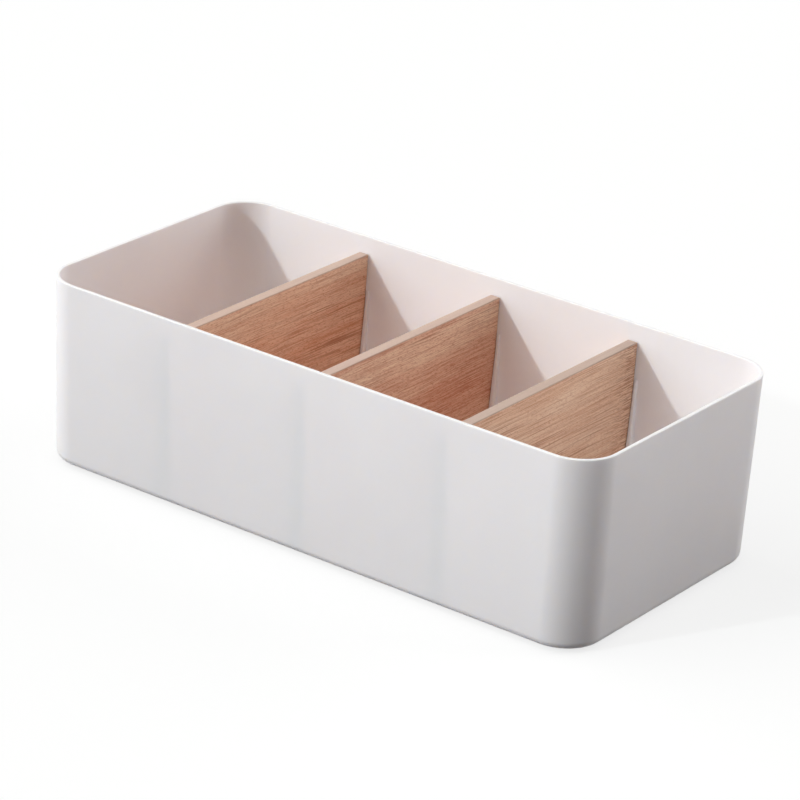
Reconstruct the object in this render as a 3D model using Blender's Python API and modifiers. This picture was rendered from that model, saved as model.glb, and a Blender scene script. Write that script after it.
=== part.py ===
"""Divided storage basket: a white moulded open box, three lift-out bamboo boards and four rubber pads.

Units are metres. +X runs along the length, +Y to the back and +Z up.
The origin is on the surface that the basket stands on, under its centre.
"""

import math

import bmesh
import bpy
from mathutils import Matrix, Vector

# Sizes of the moulded box
LENGTH = 0.267  # outside, at the rim
DEPTH = 0.130  # outside, at the rim
BOX_HEIGHT = 0.079  # from its underside to the rim
WALL = 0.0015  # walls and floor alike
INNER_CORNER = 0.0155  # radius of the upright corners, inside
INNER_FILLET = 0.0020  # radius where the walls meet the floor, inside
DRAFT_DEG = 1.0  # each wall leans out by this much towards the rim
RIM_ROUND_SHARE = 0.42  # of the wall, rounded off on each side of the rim

# The boards, from left to right, and their sizes
BOARD_NAMES = ("divider_left", "divider_middle", "divider_right")
BOARD_THICKNESS = 0.0044
BOARD_DROP = 0.0073  # from the rim down to a board's top edge
BOARD_TOP_CORNER = 0.0006  # radius of a board's upper corners
BOARD_FOOT_CORNER = 0.0005  # how much rounder its lower corners are than the box's inside fillet
BOARD_EASING = 0.0003  # sanded edges
SIDE_CLEARANCE = 0.0003  # from a board's end to the wall
SEAT_GAP = 0.0003  # between a piece and what it stands on or is pressed into

# Sizes of the wedge-shaped ribs that hold a board upright
RIB_RISE = 0.0535  # up the wall, from the floor to a rib's tip
RIB_THICKNESS = 0.0012  # at the tip
RIB_FLARE = 0.0014  # how much thicker it is at the floor
RIB_TIP_REACH = 0.0007  # how far it stands off the wall at the tip
RIB_FOOT_REACH = 0.0038  # how far it stands off the wall at the floor
RIB_ROUND = 0.0004  # along its crest
RIB_CLEARANCE = 0.0003  # from a board's face to a rib
RIB_ROOT_SHARE = 0.25  # of the wall, how deep a rib is rooted in it

# Sizes of the rubber pads
PAD_RADIUS = 0.0060
PAD_PROUD = 0.0010  # how far a pad stands out of the underside
PAD_EASING = 0.0003
PAD_INSET = 0.0220  # from the outside of the rim to a pad's centre
RECESS_SHARE = 0.45  # of the floor's thickness, cut away for a pad

CUT_OVERRUN = 0.0040  # how far a cutter runs past what it cuts

# Facets
CORNER_SEGMENTS = 12
FILLET_SEGMENTS = 4
RIM_SEGMENTS = 4
EASING_SEGMENTS = 2
PAD_SEGMENTS = 48
SMOOTH_ANGLE = math.radians(50)

# Worked out from the sizes above, in the box's own frame with its underside at zero
lean = math.tan(math.radians(DRAFT_DEG))
outer_corner = INNER_CORNER + WALL
outer_fillet = INNER_FILLET + WALL
foot_corner = INNER_FILLET + BOARD_FOOT_CORNER
board_bottom = WALL + SEAT_GAP
board_top = BOX_HEIGHT - BOARD_DROP
board_middle = (board_bottom + board_top) / 2
board_pitch = (LENGTH - 2 * WALL + BOARD_THICKNESS) / (len(BOARD_NAMES) + 1)
rib_side = BOARD_THICKNESS / 2 + RIB_CLEARANCE
rib_root = WALL * RIB_ROOT_SHARE
recess_depth = WALL * RECESS_SHARE
pad_radius_cut = PAD_RADIUS + SEAT_GAP
pad_thickness = recess_depth + PAD_PROUD - SEAT_GAP


def inner_half_depth(z):
    """Half the clear depth between the front and back walls, at a height above the underside."""
    return DEPTH / 2 - WALL - lean * (BOX_HEIGHT - z)


def clear_scene():
    for obj in list(bpy.data.objects):
        bpy.data.objects.remove(obj, do_unlink=True)


def new_collection(name):
    collection = bpy.data.collections.new(name)
    bpy.context.scene.collection.children.link(collection)
    return collection


def new_material(name, colour, roughness):
    material = bpy.data.materials.new(name)
    material.use_nodes = True
    shader = material.node_tree.nodes["Principled BSDF"]
    shader.inputs["Base Color"].default_value = (*colour, 1)
    shader.inputs["Roughness"].default_value = roughness
    shader.inputs["Metallic"].default_value = 0
    return material


def new_object(name, bm, collection, material=None):
    bmesh.ops.recalc_face_normals(bm, faces=bm.faces)
    mesh = bpy.data.meshes.new(name)
    bm.to_mesh(mesh)
    bm.free()
    mesh.shade_smooth()
    mesh.set_sharp_from_angle(angle=SMOOTH_ANGLE)
    obj = bpy.data.objects.new(name, mesh)
    collection.objects.link(obj)
    if material:
        mesh.materials.append(material)
    return obj


def new_cutter(name, bm, collection):
    cutter = new_object(name, bm, collection)
    cutter.hide_render = True
    cutter.display_type = "WIRE"
    return cutter


def add_boolean(obj, operation, other):
    boolean = obj.modifiers.new(other.name, "BOOLEAN")
    boolean.operation = operation
    boolean.solver = "EXACT"
    boolean.object = other


def add_block(bm, low, high):
    """A box between two corners, as a primitive, and its new vertices."""
    low, high = Vector(low), Vector(high)
    made = bmesh.ops.create_cube(bm, size=1)
    bmesh.ops.scale(bm, vec=high - low, verts=made["verts"])
    bmesh.ops.translate(bm, vec=(low + high) / 2, verts=made["verts"])
    return made["verts"]


def edges_along(bm, axis):
    """The edges of a block that run mostly along one axis."""
    picked = []
    for edge in bm.edges:
        run = edge.verts[1].co - edge.verts[0].co
        if abs(run[axis]) == max(abs(part) for part in run):
            picked.append(edge)
    return picked


def round_edges(bm, edges, radius, segments):
    bmesh.ops.bevel(
        bm, geom=edges, offset=radius, segments=segments, profile=0.5, affect="EDGES", material=-1
    )


def make_box(collection, material):
    """The moulded box: an open drafted shell, thickened inwards, with its rim rounded."""
    bm = bmesh.new()
    verts = add_block(bm, (-LENGTH / 2, -DEPTH / 2, 0), (LENGTH / 2, DEPTH / 2, BOX_HEIGHT))
    for vert in verts:
        if vert.co.z < BOX_HEIGHT / 2:
            vert.co.x -= math.copysign(lean * BOX_HEIGHT, vert.co.x)
            vert.co.y -= math.copysign(lean * BOX_HEIGHT, vert.co.y)
    top = [face for face in bm.faces if face.normal.z > face.normal.length / 2]
    bmesh.ops.delete(bm, geom=top, context="FACES_ONLY")
    round_edges(bm, edges_along(bm, 2), outer_corner, CORNER_SEGMENTS)
    floor = min(bm.faces, key=lambda face: face.calc_center_median().z)
    round_edges(bm, list(floor.edges), outer_fillet, FILLET_SEGMENTS)
    box = new_object("tray_body", bm, collection, material)
    shell = box.modifiers.new("wall", "SOLIDIFY")
    shell.thickness = WALL
    shell.offset = -1
    shell.use_even_offset = True
    rim = box.modifiers.new("rim", "BEVEL")
    rim.limit_method = "ANGLE"
    rim.angle_limit = SMOOTH_ANGLE
    rim.width = WALL * RIM_ROUND_SHARE
    rim.segments = RIM_SEGMENTS
    return box


def board_places():
    """Where the boards stand along the length, evenly, so that every compartment is alike."""
    middle = (len(BOARD_NAMES) - 1) / 2
    return [(index - middle) * board_pitch for index in range(len(BOARD_NAMES))]


def make_ribs(collection):
    """Pairs of ribs on the front and back walls, one on each side of a board, deeper towards the floor."""
    bottom = WALL - rib_root
    top = WALL + RIB_RISE
    middle = (bottom + top) / 2
    bm = bmesh.new()
    for place in board_places():
        for side in (-1, 1):
            for wall in (-1, 1):
                for vert in add_block(bm, (0, 0, bottom), (RIB_THICKNESS, RIB_TIP_REACH, top)):
                    low = vert.co.z < middle
                    out = RIB_THICKNESS + RIB_FLARE if low else RIB_THICKNESS
                    reach = RIB_FOOT_REACH if low else RIB_TIP_REACH
                    crest = vert.co.y > RIB_TIP_REACH / 2
                    x = rib_side + (out if vert.co.x > RIB_THICKNESS / 2 else 0)
                    y = inner_half_depth(vert.co.z) + (-reach if crest else rib_root)
                    vert.co = (place + side * x, wall * y, vert.co.z)
    crests = [edge for edge in bm.edges if on_crest(edge, middle)]
    round_edges(bm, crests, RIB_ROUND, EASING_SEGMENTS)
    return new_cutter("rib_blanks", bm, collection)


def on_crest(edge, middle):
    """True for a rib's edges that stand off the wall, but not for the one inside the floor."""
    off_wall = all(abs(vert.co.y) < inner_half_depth(vert.co.z) for vert in edge.verts)
    return off_wall and max(vert.co.z for vert in edge.verts) > middle


def pad_places():
    """The pads' centres and the words that name them."""
    x = LENGTH / 2 - PAD_INSET
    y = DEPTH / 2 - PAD_INSET
    return {
        "front_left": (-x, -y),
        "front_right": (x, -y),
        "back_left": (-x, y),
        "back_right": (x, y),
    }


def add_disc(bm, radius, low, high, place=(0, 0)):
    bmesh.ops.create_cone(
        bm,
        cap_ends=True,
        segments=PAD_SEGMENTS,
        radius1=radius,
        radius2=radius,
        depth=high - low,
        matrix=Matrix.Translation((*place, (low + high) / 2)),
    )


def make_recesses(collection):
    """Four round recesses in the underside, one for each pad."""
    bm = bmesh.new()
    for place in pad_places().values():
        add_disc(bm, pad_radius_cut, -CUT_OVERRUN, recess_depth, place)
    return new_cutter("pad_recesses", bm, collection)


def board_mesh():
    """One board, wider at the top to follow the walls, with rounded corners and sanded edges."""
    half = BOARD_THICKNESS / 2
    bm = bmesh.new()
    add_block(bm, (-half, -DEPTH / 2, board_bottom), (half, DEPTH / 2, board_top))
    for vert in bm.verts:
        vert.co.y = math.copysign(inner_half_depth(vert.co.z) - SIDE_CLEARANCE, vert.co.y)
    for radius, upper in ((foot_corner, False), (BOARD_TOP_CORNER, True)):
        ends = [edge for edge in edges_along(bm, 0) if (edge.verts[0].co.z > board_middle) == upper]
        round_edges(bm, ends, radius, FILLET_SEGMENTS)
    faces = [face for face in bm.faces if abs(face.normal.x) > face.normal.length / 2]
    outline = [edge for face in faces for edge in face.edges]
    round_edges(bm, outline, BOARD_EASING, EASING_SEGMENTS)
    return bm


def make_boards(collection, material):
    boards = []
    for name, place in zip(BOARD_NAMES, board_places()):
        board = new_object(name, board_mesh(), collection, material)
        board.location = (place, 0, 0)
        boards.append(board)
    return boards


def make_pads(collection, material):
    pads = []
    for corner, place in pad_places().items():
        bm = bmesh.new()
        add_disc(bm, PAD_RADIUS, -PAD_PROUD, pad_thickness - PAD_PROUD)
        ground = min(bm.faces, key=lambda face: face.calc_center_median().z)
        round_edges(bm, list(ground.edges), PAD_EASING, EASING_SEGMENTS)
        pad = new_object("foot_" + corner, bm, collection, material)
        pad.location = (*place, 0)
        pads.append(pad)
    return pads


def main():
    clear_scene()
    parts = new_collection("divided_storage_basket")
    cutters = new_collection("cutters")
    white_plastic = new_material("white_plastic", (0.80, 0.78, 0.77), 0.42)
    bamboo = new_material("bamboo", (0.50, 0.27, 0.15), 0.55)
    rubber = new_material("grey_rubber", (0.35, 0.35, 0.35), 0.80)

    box = make_box(parts, white_plastic)
    add_boolean(box, "UNION", make_ribs(cutters))
    add_boolean(box, "DIFFERENCE", make_recesses(cutters))
    box.location = (0, 0, PAD_PROUD)
    for piece in make_boards(parts, bamboo) + make_pads(parts, rubber):
        piece.parent = box
    for cutter in cutters.objects:
        cutter.parent = box


main()
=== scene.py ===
"""Divided storage basket: a white moulded box, three bamboo boards that lift out and four rubber pads.

Lengths are metres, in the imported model's frame: +X along the length, +Y to the back and +Z up.
"""

import math

import bmesh
import bpy
from mathutils import Matrix, Vector


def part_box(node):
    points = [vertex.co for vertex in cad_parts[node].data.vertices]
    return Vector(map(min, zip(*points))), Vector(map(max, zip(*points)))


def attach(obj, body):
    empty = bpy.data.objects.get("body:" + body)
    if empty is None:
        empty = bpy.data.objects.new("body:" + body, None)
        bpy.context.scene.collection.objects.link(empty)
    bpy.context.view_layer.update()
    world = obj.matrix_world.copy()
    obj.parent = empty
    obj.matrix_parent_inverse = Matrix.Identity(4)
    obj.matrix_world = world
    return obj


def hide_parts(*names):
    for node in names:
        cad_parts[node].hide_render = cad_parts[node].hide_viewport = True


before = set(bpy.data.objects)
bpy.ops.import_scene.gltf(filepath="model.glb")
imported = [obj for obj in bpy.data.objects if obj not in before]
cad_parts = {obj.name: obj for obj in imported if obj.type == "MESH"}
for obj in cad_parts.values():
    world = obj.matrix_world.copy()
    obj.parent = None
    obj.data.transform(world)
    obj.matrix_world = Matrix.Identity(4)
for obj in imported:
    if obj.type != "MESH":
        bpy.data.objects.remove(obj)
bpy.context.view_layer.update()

# The box is one moulding in white satin polypropylene, with the same wall all over. Its sides lean out a
# little so that it leaves the mould, its upright corners are large soft rounds and its rim is rounded over.
# Wedge-shaped ribs on the long walls hold the boards, and the underside has pad recesses and the gate's mark.
tray_low, tray_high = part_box("tray_body")
box_height = 0.0790
wall = 0.0015
draft = math.radians(1.0)
outer_corner = 0.0170
outer_fillet = 0.0035
rim_round = 0.00030
rib_rise = 0.0535
rib_root = 0.0004
rib_clearance = 0.0003
recess_radius = 0.0063
recess_depth = 0.000675
gate_radius = 0.0040
gate_depth = 0.0003
gate_nub = 0.0013
pin_radius = 0.0035
pin_depth = 0.00012
corner_steps, fillet_steps, rim_steps = 32, 8, 6
recess_steps, mark_steps = 96, 64
white = (0.872, 0.850, 0.868, 1)
white_tint = (0.857, 0.835, 0.853, 1)


def add_block(bm, low, high):
    """A box between two corners, and its new vertices."""
    low, high = Vector(low), Vector(high)
    made = bmesh.ops.create_cube(bm, size=1)
    bmesh.ops.scale(bm, vec=high - low, verts=made["verts"])
    bmesh.ops.translate(bm, vec=(low + high) / 2, verts=made["verts"])
    return made["verts"]


def add_disc(bm, radius, low, high, place, segments):
    bmesh.ops.create_cone(
        bm,
        cap_ends=True,
        segments=segments,
        radius1=radius,
        radius2=radius,
        depth=high - low,
        matrix=Matrix.Translation((*place, (low + high) / 2)),
    )


def round_edges(bm, edges, radius, segments):
    bmesh.ops.bevel(
        bm,
        geom=edges,
        offset=radius,
        offset_type="OFFSET",
        segments=segments,
        profile=0.5,
        affect="EDGES",
        material=-1,
    )


def edges_along(bm, axis):
    """The edges that run mostly along one axis."""
    picked = []
    for edge in bm.edges:
        run = edge.verts[1].co - edge.verts[0].co
        if abs(run[axis]) == max(abs(part) for part in run):
            picked.append(edge)
    return picked


def new_object(name, bm):
    bmesh.ops.remove_doubles(bm, verts=bm.verts, dist=1e-7)
    bmesh.ops.recalc_face_normals(bm, faces=bm.faces)
    mesh = bpy.data.meshes.new(name)
    bm.to_mesh(mesh)
    bm.free()
    obj = bpy.data.objects.new(name, mesh)
    bpy.context.scene.collection.objects.link(obj)
    return obj


def join_or_cut(obj, operation, other):
    boolean = obj.modifiers.new(other.name, "BOOLEAN")
    boolean.operation = operation
    boolean.solver = "EXACT"
    boolean.object = other


def finished(obj, helpers=(), sharp=40):
    """The object with its modifiers applied, its helpers removed and its shading smooth up to an angle."""
    bpy.context.view_layer.update()
    graph = bpy.context.evaluated_depsgraph_get()
    mesh = bpy.data.meshes.new_from_object(obj.evaluated_get(graph))
    obj.modifiers.clear()
    obj.data = mesh
    mesh.name = obj.name
    for helper in helpers:
        bpy.data.objects.remove(helper)
    mesh.shade_smooth()
    mesh.set_sharp_from_angle(angle=math.radians(sharp))
    even = obj.modifiers.new("even_normals", "WEIGHTED_NORMAL")
    even.keep_sharp = True
    return obj


def half_depth(z):
    """Half the clear depth between the front and back walls at a height."""
    return tray_high.y - wall - math.tan(draft) * (tray_low.z + box_height - z)


def centre_of(node):
    low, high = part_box(node)
    return (low + high) / 2


corners = ("front_left", "front_right", "back_left", "back_right")
pad_places = [centre_of("foot_" + corner)[:2] for corner in corners]
board_places = [centre_of("divider_" + side).x for side in ("left", "middle", "right")]
board_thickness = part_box("divider_middle")[1].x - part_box("divider_middle")[0].x

bm = bmesh.new()
verts = add_block(bm, tray_low, (tray_high.x, tray_high.y, tray_low.z + box_height))
foot = [vert for vert in verts if vert.co.z < tray_low.z + box_height / 2]
shrink = math.tan(draft) * box_height
bmesh.ops.scale(bm, vec=(1 - shrink / tray_high.x, 1 - shrink / tray_high.y, 1), verts=foot)
bmesh.ops.delete(bm, geom=[face for face in bm.faces if face.normal.z > 0.5], context="FACES_ONLY")
round_edges(bm, edges_along(bm, 2), outer_corner, corner_steps)
floor_face = min(bm.faces, key=lambda face: face.calc_center_median().z)
round_edges(bm, list(floor_face.edges), outer_fillet, fillet_steps)
tray = new_object("basket_box", bm)
shell = tray.modifiers.new("wall", "SOLIDIFY")
shell.thickness = wall
shell.offset = -1
shell.use_even_offset = True
rim = tray.modifiers.new("rim", "BEVEL")
rim.limit_method = "ANGLE"
rim.angle_limit = math.radians(50)
rim.width = rim_round
rim.segments = rim_steps

# Each rib is a loft between three sections, each with its height, thickness, reach off the wall, the radius
# of its crest and the radius of the hollow beside it where it runs into the wall.
floor_top = tray_low.z + wall
rib_sections = (
    (floor_top - rib_root, 0.0026, 0.0038, 0.0007, 0.0010),
    (floor_top + rib_rise, 0.0012, 0.0007, 0.0004, 0.0003),
    (floor_top + rib_rise + 0.0010, 0.0008, -0.0002, 0.0001, 0.00001),
)
rib_steps = 5


def arc(middle, radius, start, end):
    """Points along part of a circle, between two directions in degrees."""
    turns = [math.radians(start + (end - start) * step / rib_steps) for step in range(rib_steps + 1)]
    return [(middle[0] + radius * math.cos(turn), middle[1] + radius * math.sin(turn)) for turn in turns]


def rib_outline(thickness, reach, crest, hollow):
    """A rib's section, from the side that faces the board, with the distance off the wall second."""
    points = [(0, -rib_root)]
    points += arc((crest / 2, reach - crest / 2), crest / 2, 180, 90)
    points += arc((thickness - crest, reach - crest), crest, 90, 0)
    points += arc((thickness + hollow, hollow), hollow, 180, 270)
    return points + [(thickness + hollow, -rib_root)]


rib_side = board_thickness / 2 + rib_clearance
bm = bmesh.new()
for place in board_places:
    for side in (-1, 1):
        for face in (-1, 1):
            rings = []
            for z, *sizes in rib_sections:
                points = []
                for out, off in rib_outline(*sizes):
                    y = face * (half_depth(z) - off)
                    points.append(bm.verts.new((place + side * (rib_side + out), y, z)))
                rings.append([bm.edges.new(pair) for pair in zip(points, points[1:] + points[:1])])
            for lower, upper in zip(rings, rings[1:]):
                bmesh.ops.bridge_loops(bm, edges=lower + upper)
            for ring in (rings[0], rings[-1]):
                bmesh.ops.edgeloop_fill(bm, edges=ring)
ribs = new_object("rib_blanks", bm)
join_or_cut(tray, "UNION", ribs)

bm = bmesh.new()
for place in pad_places:
    add_disc(bm, recess_radius, tray_low.z - wall, tray_low.z + recess_depth, place, recess_steps)
recesses = new_object("pad_recesses", bm)
join_or_cut(tray, "DIFFERENCE", recesses)

bm = bmesh.new()
gate_outline = (
    (gate_nub, -wall),
    (gate_radius, -wall),
    (gate_radius, 0),
    (gate_nub + gate_depth, gate_depth),
    (gate_nub, 0),
)
points = [bm.verts.new((radius, 0, tray_low.z + up)) for radius, up in gate_outline]
ring = [bm.edges.new((a, b)) for a, b in zip(points, points[1:] + points[:1])]
hub = (0, 0, 0)
bmesh.ops.spin(bm, geom=ring, cent=hub, axis=(0, 0, 1), angle=math.tau, steps=mark_steps, use_merge=True)
gate = new_object("gate_mark", bm)
join_or_cut(tray, "DIFFERENCE", gate)

bm = bmesh.new()
spans = [tray_low.x + wall, *board_places, tray_high.x - wall]
for left, right in zip(spans, spans[1:]):
    for y in (tray_low.y / 2, tray_high.y / 2):
        place = ((left + right) / 2, y)
        add_disc(bm, pin_radius, floor_top - pin_depth, floor_top + wall, place, mark_steps)
pins = new_object("pin_marks", bm)
join_or_cut(tray, "DIFFERENCE", pins)
tray = finished(tray, (ribs, recesses, gate, pins))


def add_node(tree, kind, inputs=None, **settings):
    """A shader node with its settings, and its inputs, each a value or another node's output."""
    node = tree.nodes.new(kind)
    for name, value in settings.items():
        setattr(node, name, value)
    for name, value in (inputs or {}).items():
        if isinstance(value, bpy.types.NodeSocket):
            tree.links.new(value, node.inputs[name])
        else:
            node.inputs[name].default_value = value
    return node


def new_group(name, inputs, outputs):
    """An empty node group with named sockets, and its input and output nodes."""
    group = bpy.data.node_groups.new(name, "ShaderNodeTree")
    for socket_name, (kind, value) in inputs.items():
        socket = group.interface.new_socket(socket_name, in_out="INPUT", socket_type="NodeSocket" + kind)
        socket.default_value = value
    for socket_name, kind in outputs.items():
        group.interface.new_socket(socket_name, in_out="OUTPUT", socket_type="NodeSocket" + kind)
    return group, group.nodes.new("NodeGroupInput").outputs, group.nodes.new("NodeGroupOutput").inputs


def noise(tree, vector, scale, detail=2.0, roughness=0.5):
    """A soft random value from 0 to 1."""
    inputs = {"Vector": vector, "Scale": scale, "Detail": detail, "Roughness": roughness}
    return add_node(tree, "ShaderNodeTexNoise", inputs).outputs["Fac"]


def ramp(tree, value, low, high, to_low=0.0, to_high=1.0):
    """A value eased from one range into another."""
    inputs = {"Value": value, "From Min": low, "From Max": high, "To Min": to_low, "To Max": to_high}
    return add_node(tree, "ShaderNodeMapRange", inputs, interpolation_type="SMOOTHSTEP").outputs["Result"]


def math_node(tree, operation, a, b=0.0, c=0.0):
    return add_node(tree, "ShaderNodeMath", {0: a, 1: b, 2: c}, operation=operation).outputs["Value"]


def mix_colour(tree, share, a, b, blend="MIX"):
    inputs = {"Factor": share, 6: a, 7: b}
    return add_node(tree, "ShaderNodeMix", inputs, data_type="RGBA", blend_type=blend).outputs[2]


def new_material(name):
    material = bpy.data.materials.new(name)
    material.use_nodes = True
    tree = material.node_tree
    return material, tree, tree.nodes["Principled BSDF"]


# The moulded finish, which the plastic and the rubber share: a fine even grain from the mould and slow
# changes of tone and gloss.
patch_scale, flow_scale = 28.0, 140.0
grain_inputs = {
    "Colour": ("Color", white),
    "Tint": ("Color", white_tint),
    "Grain": ("Float", 1500.0),
    "Smooth": ("Float", 0.36),
    "Rough": ("Float", 0.48),
}
finish_outputs = {"Color": "Color", "Roughness": "Float", "Height": "Float"}
moulded, given, wanted = new_group("moulded grain", grain_inputs, finish_outputs)
spot = add_node(moulded, "ShaderNodeTexCoord").outputs["Object"]
slow = ramp(moulded, noise(moulded, spot, patch_scale, 3.0), 0.3, 0.7)
flow = noise(moulded, spot, flow_scale, 4.0, 0.6)
fine = noise(moulded, spot, given["Grain"], 2.0, 0.5)
tone = mix_colour(moulded, slow, given["Colour"], given["Tint"])
moulded.links.new(tone, wanted["Color"])
spread = math_node(moulded, "SUBTRACT", given["Rough"], given["Smooth"])
rough = math_node(moulded, "MULTIPLY_ADD", ramp(moulded, flow, 0.3, 0.7), spread, given["Smooth"])
moulded.links.new(rough, wanted["Roughness"])
moulded.links.new(math_node(moulded, "MULTIPLY_ADD", flow, 0.6, fine), wanted["Height"])


def moulded_material(name, values, bump, depth, specular):
    material, tree, shader = new_material(name)
    finish = tree.nodes.new("ShaderNodeGroup")
    finish.node_tree = moulded
    for socket, value in values.items():
        finish.inputs[socket].default_value = value
    tree.links.new(finish.outputs["Color"], shader.inputs["Base Color"])
    tree.links.new(finish.outputs["Roughness"], shader.inputs["Roughness"])
    inputs = {"Strength": bump, "Distance": depth, "Height": finish.outputs["Height"]}
    surface = add_node(tree, "ShaderNodeBump", inputs)
    tree.links.new(surface.outputs["Normal"], shader.inputs["Normal"])
    shader.inputs["Metallic"].default_value = 0.0
    shader.inputs["Specular IOR Level"].default_value = specular
    return material


plastic = moulded_material(
    "white_plastic",
    {"Colour": white, "Tint": white_tint},
    bump=0.25,
    depth=0.00002,
    specular=0.5,
)
# The thin wall lets a little light through, so the boards' ends and the lit inside show faintly from outside.
shader = plastic.node_tree.nodes["Principled BSDF"]
shader.subsurface_method = "RANDOM_WALK"
shader.inputs["Subsurface Weight"].default_value = 1.0
shader.inputs["Subsurface Radius"].default_value = (1.0, 0.95, 0.87)
shader.inputs["Subsurface Scale"].default_value = 0.0016
tray.data.materials.clear()
tray.data.materials.append(plastic)
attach(tray, "box")
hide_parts("tray_body")

# The dividers are three alike boards, pressed from bamboo strips that run along them, sanded and sealed
# clear. Each stands loose on the floor between its ribs, a little below the rim, and fits the leaning walls.
board_top_corner = 0.0006
board_foot_corner = 0.0025
board_easing = 0.0003
side_clearance = 0.0003
board_corner_steps, board_easing_steps = 10, 4
bamboo_inputs = {
    "Place": ("Vector", (0.0, 0.0, 0.0)),
    "Pale": ("Color", (0.98, 0.75, 0.56, 1)),
    "Deep": ("Color", (0.75, 0.29, 0.14, 1)),
    "Fibre": ("Color", (0.34, 0.09, 0.034, 1)),
    "Sanded": ("Color", (0.58, 0.431, 0.369, 1)),
    "Strips": ("Float", 0.28),
    "Streaks": ("Float", 0.60),
    "End Streaks": ("Float", 0.0),
}
bamboo, given, wanted = new_group("bamboo grain", bamboo_inputs, finish_outputs)
strip_width = 11.5
drift_reach = 3.0
joint_reach = 130.0
sanded_edge = 1000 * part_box("divider_middle")[1].z

# How often each pattern repeats in a millimetre, across the board and along it.
drift_scale = (0.03, 0.012)
cloud_scale = (0.13, 0.014)
line_scale = (2.1, 0.030)
hair_scale = (3.6, 0.075)
pore_scale = (3.0, 0.65)
dash_scale = (2.2, 0.16)
bunch_scale = (0.12, 0.022)
cloud_share, line_share, hair_share, pore_share, joint_share = 0.20, 0.18, 0.16, 0.18, 0.12


def vector_node(tree, operation, a, b):
    return add_node(tree, "ShaderNodeVectorMath", {0: a, 1: b}, operation=operation).outputs["Vector"]


def stretched(vector, across, along):
    """The place on a board, stretched so that a pattern's grains run along the board."""
    return vector_node(bamboo, "MULTIPLY", vector, (across, along, across))


spot = add_node(bamboo, "ShaderNodeTexCoord").outputs["Object"]
spot = vector_node(bamboo, "MULTIPLY", spot, (1000, 1000, 1000))
parts = add_node(bamboo, "ShaderNodeSeparateXYZ", {"Vector": spot}).outputs
to_end, height = math_node(bamboo, "ABSOLUTE", parts["Y"]), parts["Z"]
spot = vector_node(bamboo, "ADD", spot, given["Place"])
drift = noise(bamboo, stretched(spot, *drift_scale), 1.0)
drift = math_node(bamboo, "MULTIPLY", drift, drift_reach)
drift = add_node(bamboo, "ShaderNodeCombineXYZ", {"Z": drift}).outputs["Vector"]
spot = vector_node(bamboo, "ADD", spot, drift)
up = add_node(bamboo, "ShaderNodeSeparateXYZ", {"Vector": spot}).outputs["Z"]
along = add_node(bamboo, "ShaderNodeSeparateXYZ", {"Vector": spot}).outputs["Y"]

# The pressed strips, each with its own tone and with a node, the stem's joint, somewhere along it.
# Painted shade: the place can pick strip tones that darken towards the bottom, as on the left and middle
# boards.
strip = math_node(bamboo, "FLOOR", math_node(bamboo, "DIVIDE", up, strip_width))
chance = add_node(bamboo, "ShaderNodeTexWhiteNoise", {"W": strip}, noise_dimensions="1D").outputs
strip_tone_and_shade = chance["Value"]
joint_place = add_node(bamboo, "ShaderNodeSeparateColor", {"Color": chance["Color"]}).outputs["Green"]
joint_place = math_node(bamboo, "MULTIPLY_ADD", joint_place, 2 * joint_reach, -joint_reach)
joint = math_node(bamboo, "ABSOLUTE", math_node(bamboo, "SUBTRACT", along, joint_place))
joint = ramp(bamboo, joint, 2.6, 0.4)

# The fibres: soft bands, long even lines, fine hairs between them, short pores and dashes where they crowd.
cloud = ramp(bamboo, noise(bamboo, stretched(spot, *cloud_scale), 1.0, 3.0, 0.55), 0.32, 0.68)
lines = noise(bamboo, stretched(spot, *line_scale), 1.0, 1.0, 0.5)
hairs = noise(bamboo, stretched(spot, *hair_scale), 1.0, 2.0, 0.6)
pores = noise(bamboo, stretched(spot, *pore_scale), 1.0, 1.0, 0.5)
dashes = noise(bamboo, stretched(spot, *dash_scale), 1.0, 1.0, 0.5)
bunch = ramp(bamboo, noise(bamboo, stretched(spot, *bunch_scale), 1.0, 1.0, 0.5), 0.38, 0.62)
tone = math_node(bamboo, "MULTIPLY", cloud, cloud_share)
tone = math_node(bamboo, "MULTIPLY_ADD", strip_tone_and_shade, given["Strips"], tone)
tone = math_node(bamboo, "MULTIPLY_ADD", ramp(bamboo, lines, 0.32, 0.68), line_share, tone)
tone = math_node(bamboo, "MULTIPLY_ADD", ramp(bamboo, hairs, 0.32, 0.68), hair_share, tone)
tone = math_node(bamboo, "MULTIPLY_ADD", ramp(bamboo, pores, 0.32, 0.68), pore_share, tone)
wood = mix_colour(bamboo, tone, given["Deep"], given["Pale"])
crowd = math_node(bamboo, "MULTIPLY_ADD", bunch, 0.6, 0.4)
dark = math_node(bamboo, "MULTIPLY", ramp(bamboo, lines, 0.50, 0.34), crowd)
dark = math_node(bamboo, "MAXIMUM", dark, math_node(bamboo, "MULTIPLY", ramp(bamboo, hairs, 0.46, 0.34), 0.7))
dark = math_node(bamboo, "MAXIMUM", dark, math_node(bamboo, "MULTIPLY", ramp(bamboo, pores, 0.42, 0.30), 0.7))
dark = math_node(bamboo, "MULTIPLY", dark, given["Streaks"])
ends = math_node(bamboo, "MULTIPLY", ramp(bamboo, to_end, 38.0, 60.0), given["End Streaks"])
ends = math_node(bamboo, "MULTIPLY", ends, ramp(bamboo, dashes, 0.50, 0.60))
dark = math_node(bamboo, "MAXIMUM", dark, ends)
dark = math_node(bamboo, "MAXIMUM", dark, math_node(bamboo, "MULTIPLY", joint, joint_share))
wood = mix_colour(bamboo, dark, wood, given["Fibre"])
sanded = ramp(bamboo, height, sanded_edge - 0.7, sanded_edge - 0.2, 0.0, 0.85)
bamboo.links.new(mix_colour(bamboo, sanded, wood, given["Sanded"]), wanted["Color"])
bamboo.links.new(ramp(bamboo, hairs, 0.3, 0.7, 0.62, 0.50), wanted["Roughness"])
bamboo.links.new(math_node(bamboo, "SUBTRACT", hairs, dark), wanted["Height"])


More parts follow.
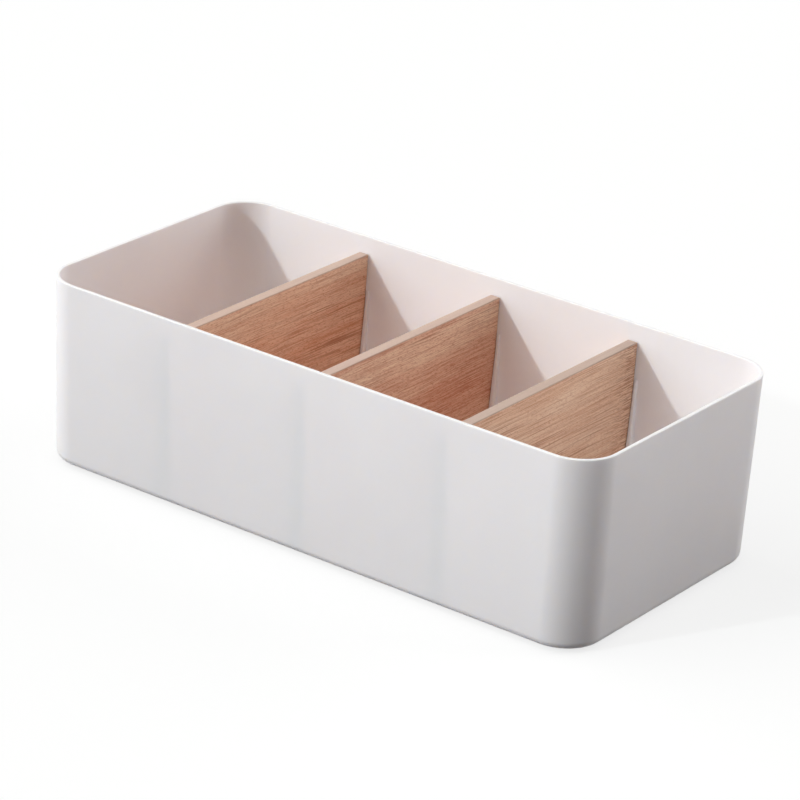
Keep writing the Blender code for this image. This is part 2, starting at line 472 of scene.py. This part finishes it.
def bamboo_material(name, values):
    material, tree, shader = new_material(name)
    finish = tree.nodes.new("ShaderNodeGroup")
    finish.node_tree = bamboo
    for socket, value in values.items():
        finish.inputs[socket].default_value = value
    tree.links.new(finish.outputs["Color"], shader.inputs["Base Color"])
    tree.links.new(finish.outputs["Roughness"], shader.inputs["Roughness"])
    inputs = {"Strength": 0.3, "Distance": 0.00004, "Height": finish.outputs["Height"]}
    surface = add_node(tree, "ShaderNodeBump", inputs)
    tree.links.new(surface.outputs["Normal"], shader.inputs["Normal"])
    shader.inputs["Metallic"].default_value = 0.0
    shader.inputs["Specular IOR Level"].default_value = 0.35
    return material


# Painted shade: the left and middle boards' places pick strips that are darker low down and paler at the top.
boards = {
    "left": {"Place": (11.0, 3.0, 426.0)},
    "middle": {"Place": (52.0, 71.0, 561.0), "Deep": (0.59, 0.145, 0.065, 1), "Strips": 0.50},
    "right": {
        "Place": (97.0, 145.0, 54.0),
        "Pale": (0.96, 0.74, 0.56, 1),
        "Deep": (0.75, 0.35, 0.18, 1),
        "Sanded": (0.487, 0.373, 0.325, 1),
        "Streaks": 0.50,
        "End Streaks": 0.6,
    },
}
for side, values in boards.items():
    node = "divider_" + side
    low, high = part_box(node)
    bm = bmesh.new()
    for vert in add_block(bm, low, high):
        vert.co.y = math.copysign(half_depth(vert.co.z) - side_clearance, vert.co.y)
    middle = (low.z + high.z) / 2
    for radius, upper in ((board_foot_corner, False), (board_top_corner, True)):
        ends = [edge for edge in edges_along(bm, 0) if (edge.verts[0].co.z > middle) == upper]
        round_edges(bm, ends, radius, board_corner_steps)
    faces = [face for face in bm.faces if abs(face.normal.x) > 0.5]
    round_edges(bm, [edge for face in faces for edge in face.edges], board_easing, board_easing_steps)
    board = finished(new_object("bamboo_board_" + side, bm))
    board.data.materials.append(bamboo_material("bamboo_" + side, values))
    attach(board, side + "_board")
    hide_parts(node)

# The pads are soft grey rubber discs, stuck into round recesses under the corners so that the box doesn't
# slide. Two shallow rings in the face that meets the table help them grip.
pad_easing = 0.0003
pad_easing_steps, pad_steps = 4, 64
ring_radii = (0.0022, 0.0040)
ring_half_width = 0.00035
ring_depth = 0.00030
rubber = moulded_material(
    "grey_rubber",
    {
        "Colour": (0.36, 0.36, 0.355, 1),
        "Tint": (0.32, 0.32, 0.32, 1),
        "Grain": 2600.0,
        "Smooth": 0.72,
        "Rough": 0.86,
    },
    bump=0.5,
    depth=0.00003,
    specular=0.4,
)
for corner in corners:
    low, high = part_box("foot_" + corner)
    centre = (low + high) / 2
    radius = (high.x - low.x) / 2
    outline = [(0, low.z)]
    for ring in ring_radii:
        outline += [
            (ring - ring_half_width, low.z),
            (ring - ring_half_width / 2, low.z + ring_depth),
            (ring + ring_half_width / 2, low.z + ring_depth),
            (ring + ring_half_width, low.z),
        ]
    for step in range(pad_easing_steps + 1):
        turn = math.pi / 2 * step / pad_easing_steps
        inset, lift = pad_easing * (1 - math.sin(turn)), pad_easing * (1 - math.cos(turn))
        outline.append((radius - inset, low.z + lift))
    outline += [(radius, high.z), (0, high.z)]
    bm = bmesh.new()
    points = [bm.verts.new((centre.x + out, centre.y, z)) for out, z in outline]
    edges = [bm.edges.new(pair) for pair in zip(points, points[1:])]
    hub = (centre.x, centre.y, 0)
    bmesh.ops.spin(bm, geom=edges, cent=hub, axis=(0, 0, 1), angle=math.tau, steps=pad_steps, use_merge=True)
    pad = finished(new_object("rubber_pad_" + corner, bm), sharp=50)
    pad.data.materials.append(rubber)
    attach(pad, "box")
    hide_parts("foot_" + corner)

# The studio: a plain pale floor and a white surround. The camera sees both as white, with the basket's shadow
# kept. To the light, the floor is pale away from the basket and dull close to it, as on a dark table mat.
floor_size = 40.0
floor_share = 0.25
mat_starts, mat_ends = 0.03, 0.13
mat_grey, floor_grey, floor_pale = (0.15, 0.143, 0.15, 1), (0.40, 0.39, 0.40, 1), (0.98, 0.98, 0.98, 1)
pure_white = (1, 1, 1, 1)
room_strength = 0.02
bm = bmesh.new()
bmesh.ops.create_grid(bm, x_segments=1, y_segments=1, size=floor_size / 2)
floor = new_object("studio_floor", bm)
material, tree, shader = new_material("studio_floor")
tree.nodes.remove(shader)


def seen_directly(tree):
    """1 for what the camera sees, also by reflection or through glass, and 0 for light on the object."""
    path = add_node(tree, "ShaderNodeLightPath").outputs
    mirrored = math_node(tree, "MAXIMUM", path["Is Glossy Ray"], path["Is Transmission Ray"])
    return math_node(tree, "MAXIMUM", path["Is Camera Ray"], mirrored)


seen = seen_directly(tree)
spot = add_node(tree, "ShaderNodeTexCoord").outputs["Object"]
spot = add_node(tree, "ShaderNodeVectorMath", {0: spot}, operation="ABSOLUTE").outputs["Vector"]
reach = add_node(tree, "ShaderNodeSeparateXYZ", {"Vector": spot}).outputs
beside = math_node(tree, "SUBTRACT", reach["X"], tray_high.x)
beyond = math_node(tree, "MAXIMUM", beside, math_node(tree, "SUBTRACT", reach["Y"], tray_high.y))
pale = ramp(tree, beyond, mat_starts, mat_ends)
felt = mix_colour(tree, pale, mat_grey, floor_grey)
dull = add_node(tree, "ShaderNodeBsdfDiffuse", {"Color": felt})
bright = add_node(tree, "ShaderNodeBsdfDiffuse", {"Color": floor_pale})
glow = add_node(tree, "ShaderNodeEmission", {"Color": pure_white, "Strength": 1.0})
shown = add_node(tree, "ShaderNodeMixShader", {0: floor_share, 1: glow.outputs[0], 2: bright.outputs[0]})
both = add_node(tree, "ShaderNodeMixShader", {0: seen, 1: dull.outputs[0], 2: shown.outputs[0]})
tree.links.new(both.outputs[0], tree.nodes["Material Output"].inputs["Surface"])
floor.data.materials.append(material)

world = bpy.data.worlds.new("studio")
bpy.context.scene.world = world
world.use_nodes = True
tree = world.node_tree
tree.nodes.clear()
seen = seen_directly(tree)
room = add_node(tree, "ShaderNodeBackground", {"Color": pure_white, "Strength": room_strength})
surround = add_node(tree, "ShaderNodeBackground", {"Color": pure_white, "Strength": 1.0})
both = add_node(tree, "ShaderNodeMixShader", {0: seen, 1: room.outputs[0], 2: surround.outputs[0]})
out = tree.nodes.new("ShaderNodeOutputWorld")
tree.links.new(both.outputs[0], out.inputs["Surface"])


def away(azimuth, elevation):
    """The direction from the box towards a lamp or the camera. Azimuth 0 is in front, 90 at its right end."""
    turn, lift = math.radians(azimuth), math.radians(elevation)
    return Vector((math.sin(turn) * math.cos(lift), -math.cos(turn) * math.cos(lift), math.sin(lift)))


def add_sun(name, azimuth, elevation, width, strength, colour):
    """A distant lamp, with its place and width in degrees."""
    lamp = bpy.data.lights.new(name, "SUN")
    lamp.energy = strength
    lamp.angle = math.radians(width)
    lamp.color = colour
    obj = bpy.data.objects.new(name, lamp)
    back = away(azimuth, elevation)
    obj.rotation_euler = back.to_track_quat("Z", "Y").to_euler()
    bpy.context.scene.collection.objects.link(obj)
    return obj


add_sun("key_lamp", -26.0, 26.8, 2.2, 1.14, (0.91, 0.99, 1.0))
add_sun("left_panel", -60.0, 25.0, 80.0, 2.15, (0.99, 0.965, 0.95))
add_sun("overhead_panel", -30.0, 72.0, 100.0, 1.17, (0.98, 1.0, 0.96))
add_sun("back_panel", 148.0, 22.0, 50.0, 1.66, (0.98, 0.985, 0.98))

# The camera stands where the photograph was taken from: its direction and roll in degrees, its distance, and
# how far to the side of the box's middle and above it the picture's centre lies.
camera_azimuth, camera_elevation, camera_roll = 35.409, 23.235, 3.63
camera_distance = 1.53809
aim_right, aim_up = 0.003116, 0.041389
camera = bpy.data.objects.new("camera", bpy.data.cameras.new("camera"))
bpy.context.scene.collection.objects.link(camera)
camera.data.lens = 172.73
camera.data.sensor_width = 36.0
back = away(camera_azimuth, camera_elevation)
right = Vector((0, 0, 1)).cross(back).normalized()
up = back.cross(right)
roll = math.radians(camera_roll)
right, up = math.cos(roll) * right + math.sin(roll) * up, math.cos(roll) * up - math.sin(roll) * right
aim = right * aim_right + up * aim_up + Vector((0, 0, tray_low.z))
place = aim + back * camera_distance
camera.matrix_world = Matrix.Translation(place) @ Matrix((right, up, back)).transposed().to_4x4()
bpy.context.scene.camera = camera
bpy.context.scene.view_settings.view_transform = "Standard"
